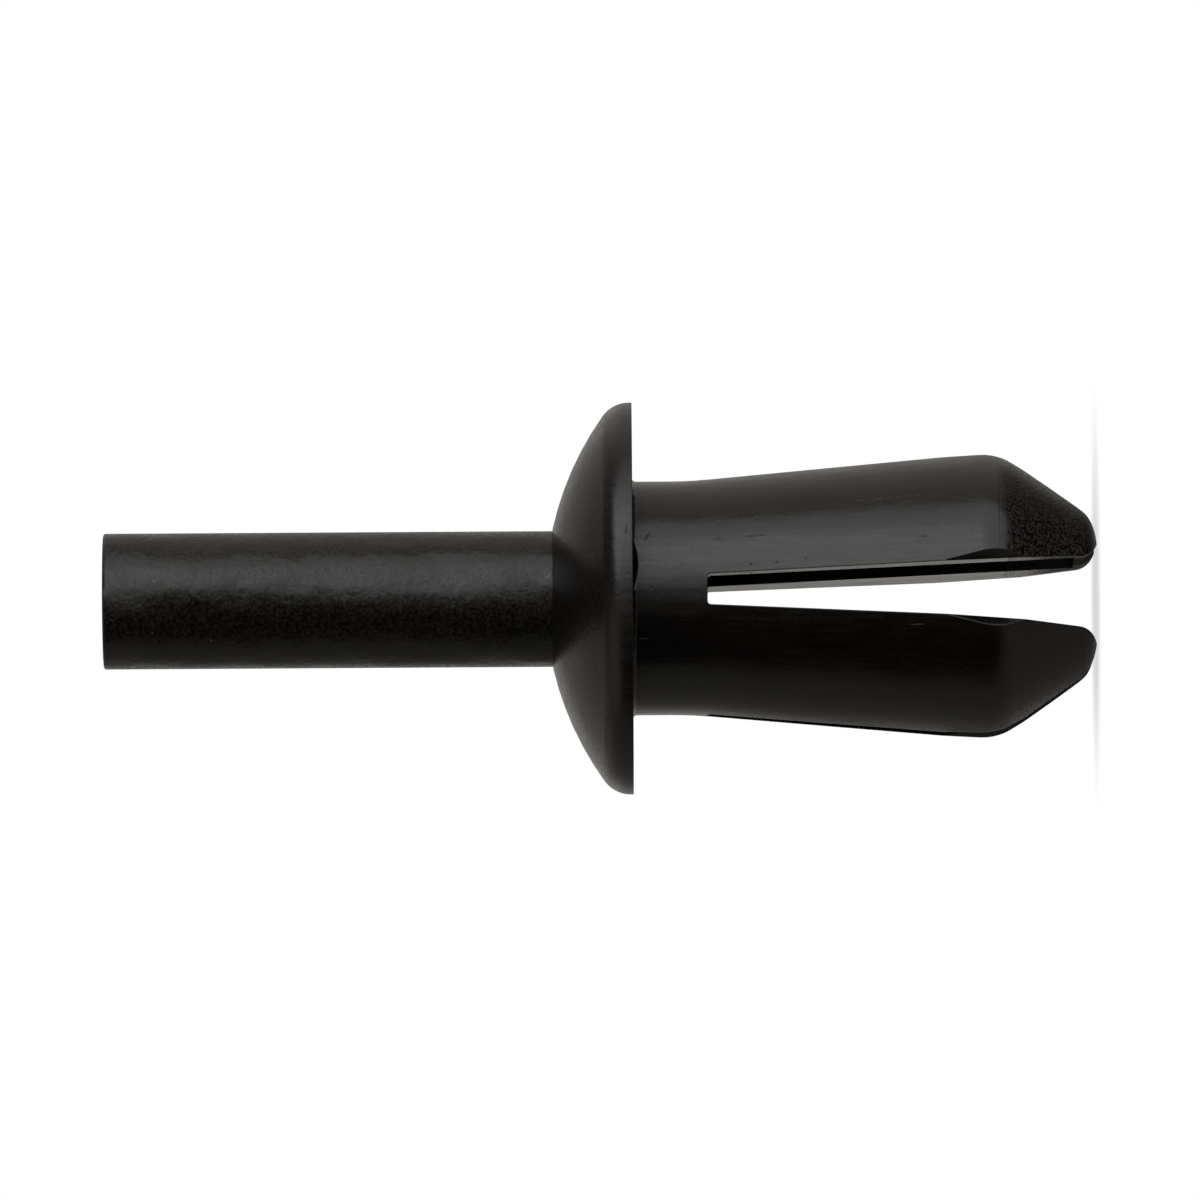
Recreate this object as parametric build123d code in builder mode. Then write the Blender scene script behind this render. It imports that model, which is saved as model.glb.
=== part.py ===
from build123d import *
import os
from math import atan2, cos, hypot, radians, sin, sqrt, tan

# Plastic push rivet: a domed head on a shank that is slotted into four spread legs, and a drive pin
# that stands in the head and is pushed home to lock the legs.
# It stands on its four leg tips. The origin is on the rivet's axis, level with the tips, and +Z is up.
# All sizes are in millimetres, and all angles in degrees.

# Head
head_diameter = 11.0
head_height = 2.46  # from the seat under the head to the top of the dome, on the axis
rim_height = 0.53  # from the seat to where the dome would meet the rim, were it not rounded
rim_rounding = 0.9
root_rounding = 0.1  # between the shank and the underside of the head

# Shank and legs
length_below_head = 13.0
shank_diameter = 6.56
solid_shank_length = 2.09  # from the seat to the roots of the slots
leg_bend_drop = 1.05  # from the seat to where the outline starts to curve out into the spread legs
leg_bend_radius = 12.0
leg_spread_angle = 5.25  # of each leg, from the axis
nose_length = 2.78
nose_end_diameter = 4.5  # where the nose cone would meet the plane of the tips
shoulder_rounding = 1.35
tip_rounding = 0.85
tip_allowance = 0.0165  # on the legs' ends, which their roundings take off again

# Mould parting line, a fine V groove round the legs' shoulders
parting_line_drop = 0.04  # below the corner between leg and nose
parting_line_width = 0.04
parting_line_depth = 0.01

# Slots, which open towards the tips. Their widths are at the shank's radius.
leg_count = 4
slot_root_width = 0.85
slot_mouth_width = 1.95
slot_root_rounding = 0.1
slot_mouth_rounding = 0.55
slot_draft_angle = 1.8  # of each wall: the slots are wider in the bore than on the outside
slot_lean_angle = 0.35  # of the mould's slot blades, sideways, towards -X at the tips

# Bevelled relief on the legs' outer edges, beside each slot
relief_length = 1.65  # from the shoulder up to where the bevel runs out
relief_width = 0.34  # of the bevel seen from outside, at the corner between leg and nose

# Gate mark, a crescent scooped from the shank where the mould was fed, just under the head
gate_mark_width = 1.47
gate_mark_height = 0.15
gate_mark_bite = 0.03  # into the underside of the head
gate_mark_angle = -77.4  # round the axis, from +X

# Drive pin and its bore
pin_diameter = 3.82
pin_clearance = 0.05  # all round, in the bore
pin_engagement = 1.93  # how far the raised pin stands in the head
bore_floor_height = 0.6  # of the steps that stop the pin, above the tips
pin_end_gap = 0.1  # under the driven pin, with its top flush with the head
pin_edge_rounding = 0.08
pin_lead_chamfer = 0.25

# Worked out from the sizes above
head_radius = head_diameter / 2
shank_radius = shank_diameter / 2
nose_end_radius = nose_end_diameter / 2
bore_radius = pin_diameter / 2 + pin_clearance
seat_z = length_below_head
root_z = seat_z - solid_shank_length
dome_rise = head_height - rim_height
crown_radius = (head_radius**2 + dome_rise**2) / (2 * dome_rise)
spread = radians(leg_spread_angle)
bend_end_radius = shank_radius + leg_bend_radius * (1 - cos(spread))
bend_end_z = seat_z - leg_bend_drop - leg_bend_radius * sin(spread)


def crown_z(radius):
    """Height of the dome at this radius."""
    return seat_z + head_height - crown_radius + sqrt(crown_radius**2 - radius**2)


def leg_radius(z):
    """Outer radius of the straight part of the spread legs, at this height."""
    return bend_end_radius + (bend_end_z - z) * tan(spread)


def slot_draft(radius):
    """What the walls' draft adds to half of the slots' width at this distance from the axis."""
    return (shank_radius - radius) * tan(radians(slot_draft_angle))


def slot_half_width(z, radius):
    """Half of the slots' width at this height and distance from the axis."""
    share = (root_z - z) / root_z
    half_width = (slot_root_width + share * (slot_mouth_width - slot_root_width)) / 2
    return half_width + slot_draft(radius)


def bevel_radius(radius, half_width):
    """Distance from the axis to where a slot's two bevels would meet, if they reach this far out and apart."""
    return sqrt(radius**2 - half_width**2) - half_width


bore_top_z = crown_z(bore_radius)
pin_length = bore_top_z - bore_floor_height - pin_end_gap
pin_bottom_z = bore_top_z - pin_engagement

# The shoulder is an arc between the leg and the nose cone.
shoulder_radius = leg_radius(nose_length)
nose_angle = atan2(shoulder_radius - nose_end_radius, nose_length)
tip_end_z = -tip_allowance
tip_end_radius = nose_end_radius - tip_allowance * tan(nose_angle)
shoulder_tangent = shoulder_rounding * tan((spread + nose_angle) / 2)
shoulder_arc_radius = shoulder_radius - shoulder_tangent * sin(spread) - shoulder_rounding * cos(spread)
shoulder_arc_z = nose_length + shoulder_tangent * cos(spread) - shoulder_rounding * sin(spread)
parting_z = nose_length - parting_line_drop
parting_radius = shoulder_arc_radius + sqrt(shoulder_rounding**2 - (shoulder_arc_z - parting_z) ** 2)


# One slot, from the axis outwards: its walls spread towards the tips, and its mouth rounds the tips' edges.
with BuildPart() as slot_cutter:
    for distance in (0, head_radius):
        root_side = slot_half_width(root_z, distance)
        mouth_side = slot_half_width(tip_end_z, distance)
        outer_side = mouth_side + 2 * slot_mouth_rounding
        with BuildSketch(Plane.YZ.offset(distance)) as slot_section:
            with BuildLine():
                outline = Polyline(
                    (0, root_z),
                    (root_side, root_z),
                    (mouth_side, tip_end_z),
                    (outer_side, tip_end_z),
                    (outer_side, tip_end_z - slot_mouth_rounding),
                    (0, tip_end_z - slot_mouth_rounding),
                )
                mirror(outline, about=Plane.YZ)
            make_face()
            root_corners = slot_section.vertices().group_by(Axis.Y)[-1]
            fillet(root_corners, slot_root_rounding)
            mouth_corners = slot_section.vertices().group_by(Axis.Y)[1].sort_by(Axis.X)[1:-1]
            fillet(mouth_corners, slot_mouth_rounding)
    loft(ruled=True)


# One relief, a square groove with its floor line inside the slot. It runs out where it is as wide as the slot.
relief_top_z = nose_length + relief_length
relief_top_leg = leg_radius(relief_top_z)
relief_top_radius = bevel_radius(relief_top_leg, slot_half_width(relief_top_z, relief_top_leg))
relief_low_half = slot_half_width(nose_length, shoulder_radius) + relief_width
relief_low_radius = bevel_radius(shoulder_radius, relief_low_half)
relief_fall = (relief_low_radius - relief_top_radius) / relief_length
relief_run = hypot(1, relief_fall) * (relief_top_z - tip_end_z + slot_mouth_rounding)
groove_depth = shoulder_radius
relief_plane = Plane(
    origin=(relief_top_radius, 0, relief_top_z),
    x_dir=(1, 0, relief_fall),
    z_dir=(relief_fall, 0, -1),
)
with BuildPart() as relief_cutter:
    with BuildSketch(relief_plane):
        with BuildLine():
            Polyline((0, 0), (groove_depth, groove_depth), (groove_depth, -groove_depth), close=True)
        make_face()
    extrude(amount=relief_run)


# Rivet body: head, shank and nose turned from one outline, then slotted into legs.
with BuildPart() as rivet_body:
    with BuildSketch(Plane.XZ) as body_section:
        with BuildLine():
            crown = RadiusArc(
                (bore_radius, bore_top_z),
                (head_radius, crown_z(head_radius)),
                crown_radius,
            )
            bend = JernArc((shank_radius, seat_z - leg_bend_drop), (0, -1), leg_bend_radius, leg_spread_angle)
            Polyline(crown @ 1, (head_radius, seat_z), (shank_radius, seat_z), bend @ 0)
            Polyline(
                bend @ 1,
                (shoulder_radius, nose_length),
                (tip_end_radius, tip_end_z),
                (0, tip_end_z),
                (0, bore_floor_height),
                (bore_radius, bore_floor_height),
                crown @ 0,
            )
        make_face()
        rim = body_section.vertices().sort_by_distance((head_radius, crown_z(head_radius)))[0]
        fillet(rim, rim_rounding)
        root = body_section.vertices().sort_by_distance((shank_radius, seat_z))[0]
        fillet(root, root_rounding)
        shoulder = body_section.vertices().sort_by_distance((shoulder_radius, nose_length))[0]
        fillet(shoulder, shoulder_rounding)
        nose_end = body_section.vertices().sort_by_distance((tip_end_radius, tip_end_z))[0]
        fillet(nose_end, tip_rounding)
    revolve(axis=Axis.Z)
    # The parting line is a V groove, centred on the surface of the shoulder's rounding.
    with BuildSketch(Plane.XZ):
        with BuildLine():
            Polyline(
                (parting_radius - parting_line_depth, parting_z),
                (parting_radius, parting_z - parting_line_width / 2),
                (parting_radius + parting_line_depth, parting_z),
                (parting_radius, parting_z + parting_line_width / 2),
                close=True,
            )
        make_face()
    revolve(axis=Axis.Z, mode=Mode.SUBTRACT)
    # Each blade leans about its slot's root, and one that faces along X doesn't lean sideways at all.
    for slot_number in range(leg_count):
        turn = slot_number * 360 / leg_count
        lean = slot_lean_angle * sin(radians(turn))
        blade_place = Rot(0, 0, turn) * Pos(0, 0, root_z) * Rot(lean, 0, 0) * Pos(0, 0, -root_z)
        with Locations(blade_place):
            add(slot_cutter.part, mode=Mode.SUBTRACT)
            add(relief_cutter.part, mode=Mode.SUBTRACT)
    # The gate mark's floor is a slope, which leaves the shank as a crescent and is deepest under the head.
    gate_depth = shank_radius - sqrt(shank_radius**2 - gate_mark_width**2 / 4)
    gate_top_z = seat_z + gate_mark_bite
    gate_top_depth = gate_depth * (gate_mark_height + gate_mark_bite) / gate_mark_height
    gate_outer_radius = shank_radius + 2 * root_rounding
    with BuildSketch(Plane.XZ.rotated((0, 0, gate_mark_angle))):
        with BuildLine():
            Polyline(
                (shank_radius, seat_z - gate_mark_height),
                (shank_radius - gate_top_depth, gate_top_z),
                (gate_outer_radius, gate_top_z),
                (gate_outer_radius, seat_z - gate_mark_height),
                close=True,
            )
        make_face()
    extrude(amount=gate_mark_width / 2, both=True, mode=Mode.SUBTRACT)


# Drive pin, raised: a plain rod with a lead chamfer at the end that stands in the bore.
with BuildPart() as drive_pin:
    with BuildSketch(Plane.XY.offset(pin_bottom_z)):
        Circle(pin_diameter / 2)
    extrude(amount=pin_length)
    chamfer(drive_pin.edges().group_by(Axis.Z)[0], pin_lead_chamfer)
    fillet(drive_pin.edges().group_by(Axis.Z)[-1], pin_edge_rounding)


rivet_body.part.label = "rivet_body"
drive_pin.part.label = "drive_pin"

os.makedirs("parts", exist_ok=True)
export_step(rivet_body.part, "parts/rivet_body.step")
export_step(drive_pin.part, "parts/drive_pin.step")
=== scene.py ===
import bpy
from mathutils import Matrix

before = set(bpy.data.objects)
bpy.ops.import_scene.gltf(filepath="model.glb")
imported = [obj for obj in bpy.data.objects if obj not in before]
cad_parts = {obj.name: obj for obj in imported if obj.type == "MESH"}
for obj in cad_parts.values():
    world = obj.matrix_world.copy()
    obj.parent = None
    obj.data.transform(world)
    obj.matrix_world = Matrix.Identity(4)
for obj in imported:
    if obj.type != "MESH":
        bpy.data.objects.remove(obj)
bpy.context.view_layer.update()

import math
from types import SimpleNamespace

import bpy
from mathutils import Matrix, Vector

# Plastic push rivet, standing on its leg tips: +Z runs up its axis from the tips to the pin's free end.
# Lengths are in metres. A shader works in millimetres once its place has been multiplied by PER_METRE.
MM = 0.001
PER_METRE = 1000.0

# The camera looks level at the rivet's side through a long lens, and is turned so that the pin points left.
VIEW_WIDTH = 33.68 * MM  # across the square view, in the rivet's own plane
VIEW_CENTRE_HEIGHT = 13.915 * MM
AXIS_ABOVE_CENTRE = 0.027 * MM
CAMERA_DISTANCE = 0.52
SENSOR_WIDTH = 36.0  # in millimetres, as the lens is
CAMERA_TURN = math.radians(4.55)  # round the rivet, from the front slot's plane towards -X
AXIS_CLIMB = math.radians(0.35)  # of the rivet's axis in the view, towards the leg tips

# Studio. Turns are from the camera towards the view's upper side, and rises are towards +Z, in degrees.
LAMP_DISTANCE = 0.30
LAMPS = {  # turn, rise, width round the rivet's axis, height, radiance
    "wide_softbox": (47, 4, 0.40, 0.70, 1.05),
    "bright_softbox": (43, 26, 0.20, 0.32, 0.75),
}
ROOM_COLOUR = "#fffaf3"
ROOM_LEVEL = 0.20
ROOM_PATCHES = (  # turn, rise, reach of the plain middle, reach of the soft edge, level
    (180, 0, 15, 48, 0.50),  # the wall behind the rivet
    (125, 0, 20, 50, 0.49),  # what the softbox throws on that wall
    (180, 88, 10, 40, 0.10),  # the ceiling
    (163, 42, 8, 26, 0.31),  # the wall's top
    (210, 52, 12, 34, 0.30),  # the wall's far corner
    (-50, 52, 12, 34, 0.36),  # the side wall
    (-40, 0, 22, 42, 0.02),  # the side below the lens
    (100, -68, 24, 41, 0.0),  # the table's edge
    (138, -40, 10, 29, 0.06),  # the table's far corner
)
FLOOR_SIZE = 1.2
FLOOR_COLOUR = "#f4f3f0"
FLOOR_SHADE = 0.35  # how much of the floor's own shading shows round the tips
FLOOR_SHADE_RADII = (2.0, 6.5)  # in millimetres, where that shading begins to fade and is gone

# Where the body's finish changes, in millimetres. Heights are above the leg tips, and radii from the axis.
GRAIN_HEIGHTS = (2.57, 2.47)  # below these the nose begins to be spark-eroded, and is so all over
RIM_RADII = (5.0, 5.2)  # beyond these the head's rim begins to be worn, and is fully worn
RIM_HEIGHTS = (13.5, 13.2)
NOSE_END_RADIUS = 2.25  # of the nose cone, at the leg tips
NOSE_GROWTH = 0.655  # of that radius, for each mm of height
WALL_DEPTHS = (0.12, 0.30)  # under the nose cone, where a surface begins to be a slot's wall, and is one
DRAG_HEIGHTS = (2.1, 0.9)  # below these the slots' walls begin to be duller, and are dullest
EDGE_ROUNDING = 0.05  # of the moulding's sharp edges

# Small marks, in millimetres and degrees: height, angle from -Y towards +X, length, width, tilt
SCUFFS = (
    (7.00, 60.8, 0.12, 0.10, 0),
    (5.07, -16.0, 0.55, 0.05, 3),
    (12.70, -24.5, 0.36, 0.05, 0),
    (13.10, 12.2, 0.10, 0.10, 0),
)
SPECK_ROW = (6.12, 42.3, 3.9, 0.11, 1.2)
NICKS = (
    (4.87, 21.2, 0.26, 0.05, 0),
    (9.55, 25.8, 0.75, 0.05, 0),
    (10.62, 25.2, 0.40, 0.07, 0),
    (8.98, 11.8, 0.12, 0.07, 0),
    (8.17, 13.3, 0.09, 0.08, 0),
    (9.70, 11.2, 0.12, 0.09, 0),
    (12.60, 27.5, 0.42, 0.11, 60),
    (13.18, 15.9, 0.50, 0.06, 86),
)
PIN_SCUFFS = (
    (15.36, 15.2, 0.36, 0.07, 52),
    (26.39, 12.9, 0.08, 0.07, 0),
    (26.45, -32.0, 0.07, 0.06, 0),
    (24.80, -40.2, 0.06, 0.07, 0),
)
PIN_NICKS = (
    (20.77, 5.1, 0.14, 0.08, 40),
    (19.99, 27.6, 0.10, 0.10, 0),
    (18.25, 6.4, 0.11, 0.09, 0),
    (19.02, 63.2, 0.12, 0.10, 0),
    (20.55, 19.1, 0.10, 0.09, 0),
)

NYLON_IOR = 1.53  # of nylon 66

# Settings of a Map Range node that eases in and out. It takes a value, its two ends and the results there.
EASED = {"interpolation_type": "SMOOTHSTEP"}
# Colour sockets of a Mix node
COLOUR_A, COLOUR_B, COLOUR_RESULT = 6, 7, 2


def linear(hex_colour):
    """An sRGB hex colour as linear red, green, blue and alpha."""
    channels = [int(hex_colour[i:i + 2], 16) / 255 for i in (1, 3, 5)]
    return [c / 12.92 if c <= 0.04045 else ((c + 0.055) / 1.055) ** 2.4 for c in channels] + [1.0]


def add_node(tree, kind, *first_inputs, inputs=(), **settings):
    """Adds a shader node. Its first inputs are given in their order, and others by name or number.

    An input is a value, the output socket of another node, or a node, which stands for its first output.
    """
    node = tree.nodes.new("ShaderNode" + kind)
    for name, setting in settings.items():
        setattr(node, name, setting)
    for key, source in [*enumerate(first_inputs), *dict(inputs).items()]:
        if isinstance(source, bpy.types.Node):
            source = source.outputs[0]
        if isinstance(source, bpy.types.NodeSocket):
            tree.links.new(source, node.inputs[key])
        else:
            node.inputs[key].default_value = source
    return node


def surface_places(tree):
    """Where the surface lies, in millimetres: its place, height, radius, and angle from -Y towards +X."""
    metres = add_node(tree, "TexCoord").outputs["Object"]
    place = add_node(tree, "VectorMath", metres, inputs={"Scale": PER_METRE}, operation="SCALE")
    parts = add_node(tree, "SeparateXYZ", place)
    front = add_node(tree, "Math", parts.outputs["Y"], -1, operation="MULTIPLY")
    angle = add_node(tree, "Math", parts.outputs["X"], front, operation="ARCTAN2")
    level = add_node(tree, "VectorMath", place, (1, 1, 0), operation="MULTIPLY")
    radius = add_node(tree, "VectorMath", level, operation="LENGTH").outputs["Value"]
    return SimpleNamespace(place=place, height=parts.outputs["Z"], radius=radius, angle=angle)


def clouds(tree, here, size, detail, seed, stretch=1):
    """A cloudy pattern whose largest features have this size in millimetres, stretched this much along Z."""
    scale = (1 / size, 1 / size, 1 / (size * stretch))
    shift = (seed, seed * 0.7, -seed)
    pattern_place = add_node(tree, "Mapping", here.place, inputs={"Location": shift, "Scale": scale})
    return add_node(tree, "TexNoise", pattern_place, inputs={"Scale": 1.0, "Detail": detail})


def pits(tree, here, size):
    """Small round hollows, about one to a cell of this size in millimetres: 1 in their middles, 0 outside."""
    cells = add_node(tree, "TexVoronoi", here.place, inputs={"Scale": 1 / size})
    depth = add_node(tree, "MapRange", cells.outputs["Color"], 0.3, 0.8, **EASED)
    hollow = add_node(tree, "MapRange", cells.outputs["Distance"], 0.30, 0.05, **EASED)
    return add_node(tree, "Math", hollow, depth, operation="MULTIPLY")


def one_mark(tree, here, mark):
    """1 in the middle of a slim mark on a round surface, 0 outside it. It lies along the axis, tilted."""
    height, angle, length, width, tilt = mark
    along = add_node(tree, "Math", here.height, height, operation="SUBTRACT")
    turn = add_node(tree, "Math", here.angle, math.radians(angle), operation="SUBTRACT")
    across = add_node(tree, "Math", turn, here.radius, operation="MULTIPLY")
    flat = add_node(tree, "CombineXYZ", across, along)
    shape = {"Rotation": (0, 0, math.radians(tilt)), "Scale": (width / 2, length / 2, 1)}
    mark_place = add_node(tree, "Mapping", flat, inputs=shape, vector_type="TEXTURE")
    distance = add_node(tree, "VectorMath", mark_place, operation="LENGTH").outputs["Value"]
    return add_node(tree, "MapRange", distance, 1.0, 0.4, **EASED)


def any_mark(tree, here, marks):
    """1 in the middle of any of these marks, 0 outside them all."""
    mask, *others = [one_mark(tree, here, mark) for mark in marks]
    for other in others:
        mask = add_node(tree, "Math", mask, other, operation="MAXIMUM")
    return mask


def new_material(name):
    """An empty material and its node tree."""
    material = bpy.data.materials.new(name)
    material.use_nodes = True
    material.node_tree.nodes.clear()
    return material, material.node_tree


def finish_nylon(tree, colour, tints, gloss, satin, dulling, reliefs, edge=None):
    """Black nylon: tints over its colour, gloss, satin roughness, what dulls it, and reliefs over its edges.

    A tint is a mask and a colour. Each pair in dulling adds its product to the roughness. A relief is a
    height from 0 to 1 and its depth in millimetres. A broken-up skin has a gloss below the plain 0.5.
    """
    colour = linear(colour)
    for mask, tint in tints:
        ends = {COLOUR_A: colour, COLOUR_B: linear(tint)}
        colour = add_node(tree, "Mix", mask, inputs=ends, data_type="RGBA").outputs[COLOUR_RESULT]
    roughness = satin
    for mask, change in dulling:
        roughness = add_node(tree, "Math", mask, change, roughness, operation="MULTIPLY_ADD")
    normal = {"Normal": edge} if edge else {}
    for height, depth in reliefs:
        relief = add_node(tree, "Bump", inputs={"Height": height, "Distance": depth * MM, **normal})
        normal = {"Normal": relief}
    skin = {"Base Color": colour, "Roughness": roughness, "IOR": NYLON_IOR, "Specular IOR Level": gloss}
    shader = add_node(tree, "BsdfPrincipled", inputs={**skin, **normal})
    add_node(tree, "OutputMaterial", shader)


def body_nylon():
    """Injection-moulded black nylon: a polished mould gives the head and legs a satin gloss with faint draw
    lines, handling has dulled the rim, and a spark-eroded insert gives the nose a matt grain."""
    material, tree = new_material("moulded_black_nylon_body")
    here = surface_places(tree)
    # Sink and flow in the wall, a few millimetres across
    waves = clouds(tree, here, 2.6, detail=1, seed=8.0)
    # Draw lines are 0.12 mm apart and long.
    draw_lines = clouds(tree, here, 0.12, detail=2, seed=3.1, stretch=14)
    # The polish leaves pinpricks under 0.1 mm across.
    pinpricks = pits(tree, here, 0.30)

    # The real grain is about 0.03 mm. It is drawn at 0.075 mm, the finest that shows.
    grain = clouds(tree, here, 0.075, detail=2, seed=1.7)
    nose = add_node(tree, "MapRange", here.height, *GRAIN_HEIGHTS, **EASED)
    level_grain = add_node(tree, "Math", grain, 0.5, operation="SUBTRACT")
    nose_grain = add_node(tree, "Math", level_grain, nose, operation="MULTIPLY")
    matt_grain = add_node(tree, "MapRange", grain, 0.34, 0.70, -0.05, 0.19, **EASED)
    # Painted shade: the grain's hollows are left darker than its crests, standing in for the shade that falls
    # in a grain too fine to model.
    grain_shade = add_node(tree, "MapRange", grain, 0.42, 0.70, **EASED)
    nose_grain_shade = add_node(tree, "Math", grain_shade, nose, operation="MULTIPLY")

    # One leg has a long row of faint pale specks, 0.2 mm apart.
    speckle = clouds(tree, here, 0.2, detail=0, seed=4.4)
    specks = add_node(tree, "MapRange", speckle, 0.42, 0.62, 0, 0.4, **EASED)
    speck_row = add_node(tree, "Math", specks, one_mark(tree, here, SPECK_ROW), operation="MULTIPLY")
    scuffs = add_node(tree, "Math", any_mark(tree, here, SCUFFS), speck_row, operation="MAXIMUM")
    nicks = any_mark(tree, here, NICKS)
    worn = add_node(tree, "Math", scuffs, nicks, operation="MAXIMUM")
    rim = add_node(tree, "MapRange", here.radius, *RIM_RADII, **EASED)
    under_dome = add_node(tree, "MapRange", here.height, *RIM_HEIGHTS, **EASED)
    worn_rim = add_node(tree, "Math", rim, under_dome, operation="MULTIPLY")

    # The mould's blades drag on the slots' walls near the tips, and leave them duller.
    cone = add_node(tree, "Math", here.height, NOSE_GROWTH, NOSE_END_RADIUS, operation="MULTIPLY_ADD")
    wall_depth = add_node(tree, "Math", cone, here.radius, operation="SUBTRACT")
    slot_walls = add_node(tree, "MapRange", wall_depth, *WALL_DEPTHS, **EASED)
    near_tips = add_node(tree, "MapRange", here.height, *DRAG_HEIGHTS, **EASED)
    dragged = add_node(tree, "Math", slot_walls, near_tips, operation="MULTIPLY")

    satin = add_node(tree, "MapRange", draw_lines, 0.3, 0.7, 0.19, 0.28, **EASED)
    uneven = add_node(tree, "MapRange", grain, 0.3, 0.7, **EASED)
    finish_nylon(
        tree,
        colour="#060301",
        # The nose's paler crest colour is painted shade in its grain's hollows; the scuffs' pale colour is
        # real wear.
        tints=((nose_grain_shade, "#211d18"), (scuffs, "#3a3835")),
        gloss=0.5,
        satin=satin,
        dulling=((uneven, 0.07), (matt_grain, nose), (worn, 0.2), (worn_rim, 0.08), (dragged, 0.4)),
        reliefs=(
            (waves, 0.06),
            (draw_lines, 0.003),
            (pinpricks, -0.003),
            (nose_grain, 0.014),
            (nicks, -0.006),
        ),
        edge=add_node(tree, "Bevel", EDGE_ROUNDING * MM, samples=8),
    )
    return material


def pin_nylon():
    """The same nylon from a plainer mould: its skin is uneven, mottled and lightly pitted, so its gloss is
    softer and patchy."""
    material, tree = new_material("moulded_black_nylon_pin")
    here = surface_places(tree)
    # Sink in the thick rod, a few millimetres across
    waves = clouds(tree, here, 2.6, detail=1, seed=5.5)
    # Mottle is about 0.9 mm across, with a finer one of 0.09 mm in it.
    mottle = clouds(tree, here, 0.9, detail=3, seed=9.1)
    fine_mottle = clouds(tree, here, 0.09, detail=1, seed=2.2)
    pale_mottle = add_node(tree, "MapRange", fine_mottle, 0.35, 0.7, **EASED)
    # Pits are up to 0.1 mm across.
    small_pits = pits(tree, here, 0.16)
    scuffs = any_mark(tree, here, PIN_SCUFFS)
    nicks = any_mark(tree, here, PIN_NICKS)
    broken = add_node(tree, "Math", small_pits, scuffs, operation="MAXIMUM")
    satin = add_node(tree, "MapRange", fine_mottle, 0.3, 0.7, 0.22, 0.40, **EASED)
    finish_nylon(
        tree,
        colour="#080604",
        tints=((pale_mottle, "#16130f"), (scuffs, "#5c5954")),
        gloss=0.42,
        satin=satin,
        dulling=((broken, 0.2),),
        reliefs=(
            (waves, 0.20),
            (mottle, 0.065),
            (fine_mottle, 0.004),
            (small_pits, -0.007),
            (nicks, -0.008),
        ),
    )
    return material


def put_on(node_name, material):
    """Gives a piece its one material."""
    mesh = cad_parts[node_name].data
    mesh.materials.clear()
    mesh.materials.append(material)


def add_camera():
    """The camera, and the directions from the rivet to it and to the view's upper side."""
    back = Vector((-math.sin(CAMERA_TURN), -math.cos(CAMERA_TURN), 0))
    right = Vector((0, 0, -1))
    up = back.cross(right)
    target = Vector((0, 0, VIEW_CENTRE_HEIGHT)) - up * AXIS_ABOVE_CENTRE
    rolled_right = right * math.cos(AXIS_CLIMB) - up * math.sin(AXIS_CLIMB)
    rolled_up = right * math.sin(AXIS_CLIMB) + up * math.cos(AXIS_CLIMB)
    camera = bpy.data.objects.new("camera", bpy.data.cameras.new("camera"))
    camera.data.sensor_width = SENSOR_WIDTH
    camera.data.lens = SENSOR_WIDTH * CAMERA_DISTANCE / VIEW_WIDTH
    camera.data.clip_start = 0.01
    camera.data.clip_end = 10
    turn = Matrix((rolled_right, rolled_up, back)).transposed().to_4x4()
    camera.matrix_world = Matrix.Translation(target + back * CAMERA_DISTANCE) @ turn
    bpy.context.scene.collection.objects.link(camera)
    bpy.context.scene.camera = camera
    return back, up


def studio_direction(back, up, turn, rise):
    """A direction from the rivet, by its turn from the camera and its rise, in degrees."""
    turn, rise = math.radians(turn), math.radians(rise)
    level = back * math.cos(turn) + up * math.sin(turn)
    return level * math.cos(rise) + Vector((0, 0, math.sin(rise)))


def add_lamp(name, direction, width, height, radiance):
    """A soft rectangular lamp that faces the rivet and isn't seen by the camera."""
    light = bpy.data.lights.new(name, "AREA")
    light.shape = "RECTANGLE"
    light.size = width
    light.size_y = height
    light.energy = radiance * math.pi * width * height
    lamp = bpy.data.objects.new(name, light)
    lamp.location = Vector((0, 0, VIEW_CENTRE_HEIGHT)) + direction * LAMP_DISTANCE
    lamp.rotation_euler = direction.to_track_quat("Z", "Y").to_euler()
    lamp.visible_camera = False
    bpy.context.scene.collection.objects.link(lamp)


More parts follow.
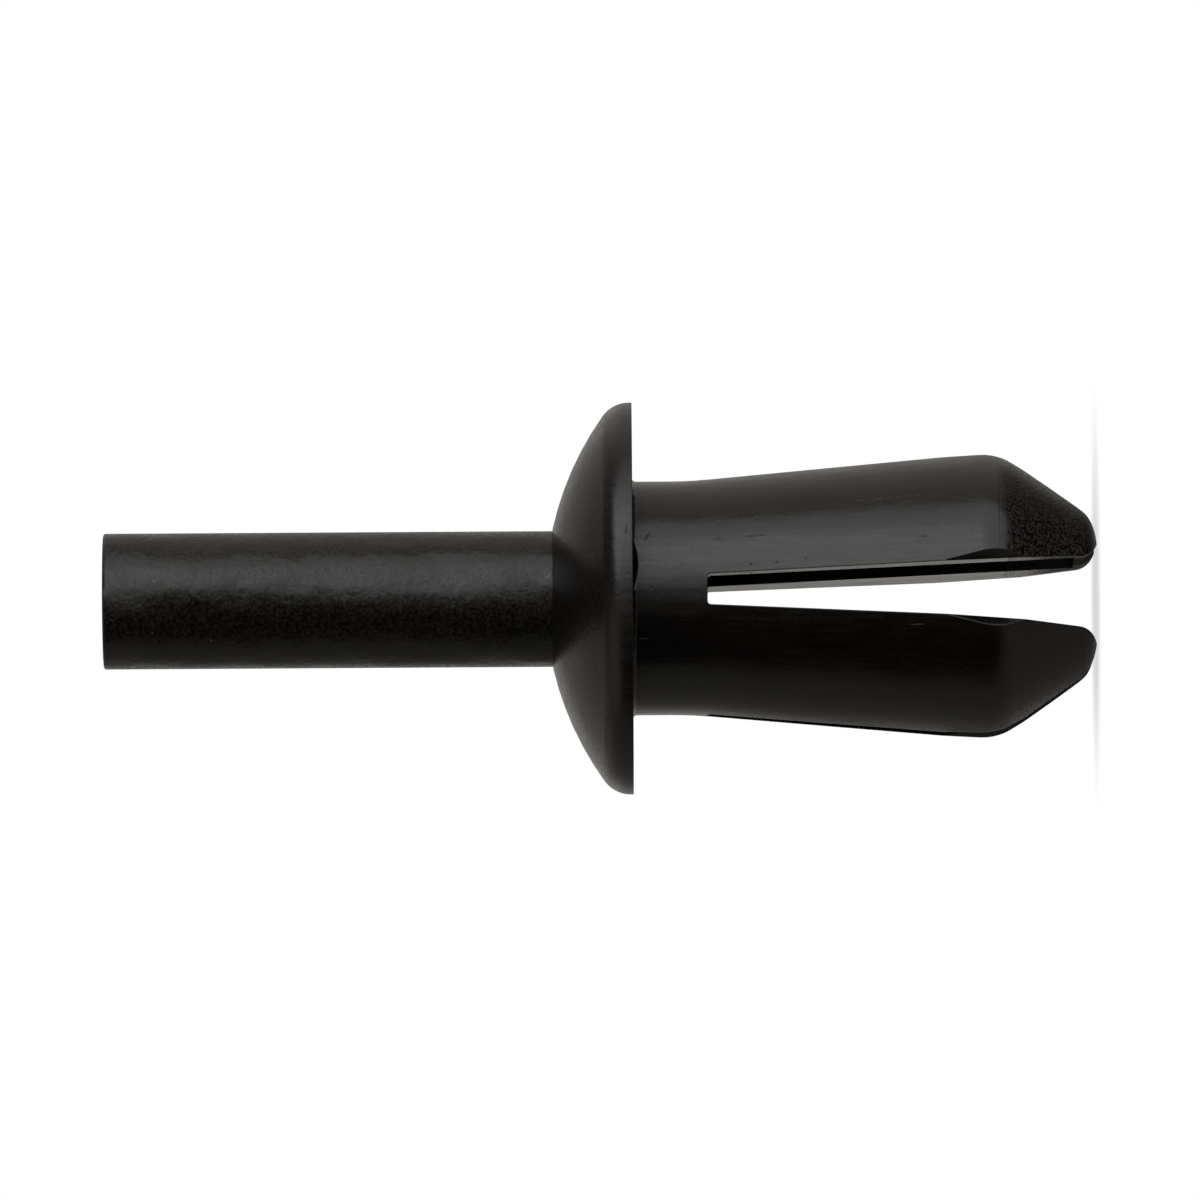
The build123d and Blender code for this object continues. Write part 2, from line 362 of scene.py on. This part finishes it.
def light_room(back, up):
    """A dim room with soft-edged paler and darker patches. The camera sees plain white."""
    world = bpy.data.worlds.new("studio")
    bpy.context.scene.world = world
    world.use_nodes = True
    tree = world.node_tree
    tree.nodes.clear()
    direction = add_node(tree, "TexCoord").outputs["Generated"]
    level = ROOM_LEVEL
    for turn, rise, middle, edge, patch_level in ROOM_PATCHES:
        side = studio_direction(back, up, turn, rise)
        nearness = add_node(tree, "VectorMath", direction, side, operation="DOT_PRODUCT").outputs["Value"]
        ends = [math.cos(math.radians(reach)) for reach in (edge, middle)]
        share = add_node(tree, "MapRange", nearness, *ends, **EASED)
        level = add_node(tree, "Mix", share, inputs={"A": level, "B": patch_level})
    room = add_node(tree, "Background", linear(ROOM_COLOUR), level)
    white = add_node(tree, "Background", (1, 1, 1, 1), 1.0)
    camera_ray = add_node(tree, "LightPath").outputs["Is Camera Ray"]
    surroundings = add_node(tree, "MixShader", camera_ray, room, white)
    add_node(tree, "OutputWorld", surroundings)


def add_floor():
    """A pale floor at the leg tips. It carries the rivet's shadow, and turns plain white further out."""
    half = FLOOR_SIZE / 2
    corners = [(-half, -half, 0), (half, -half, 0), (half, half, 0), (-half, half, 0)]
    mesh = bpy.data.meshes.new("floor")
    mesh.from_pydata(corners, [], [(0, 1, 2, 3)])
    floor = bpy.data.objects.new("floor", mesh)
    bpy.context.scene.collection.objects.link(floor)
    material, tree = new_material("pale_floor")
    radius = surface_places(tree).radius
    shade = add_node(tree, "MapRange", radius, *FLOOR_SHADE_RADII, FLOOR_SHADE, 0, **EASED)
    paper = add_node(tree, "BsdfDiffuse", linear(FLOOR_COLOUR))
    white = add_node(tree, "Emission", (1, 1, 1, 1), 1.0)
    surface = add_node(tree, "MixShader", shade, white, paper)
    add_node(tree, "OutputMaterial", surface)
    mesh.materials.append(material)
    # The softbox reaches below the floor, which neither blocks its light nor shows in the rivet's gloss.
    floor.visible_shadow = False
    floor.visible_glossy = False
    floor.visible_diffuse = False


put_on("rivet_body", body_nylon())
put_on("drive_pin", pin_nylon())

back, up = add_camera()
for name, (turn, rise, *sizes) in LAMPS.items():
    add_lamp(name, studio_direction(back, up, turn, rise), *sizes)
light_room(back, up)
add_floor()

bpy.context.scene.view_settings.view_transform = "Standard"
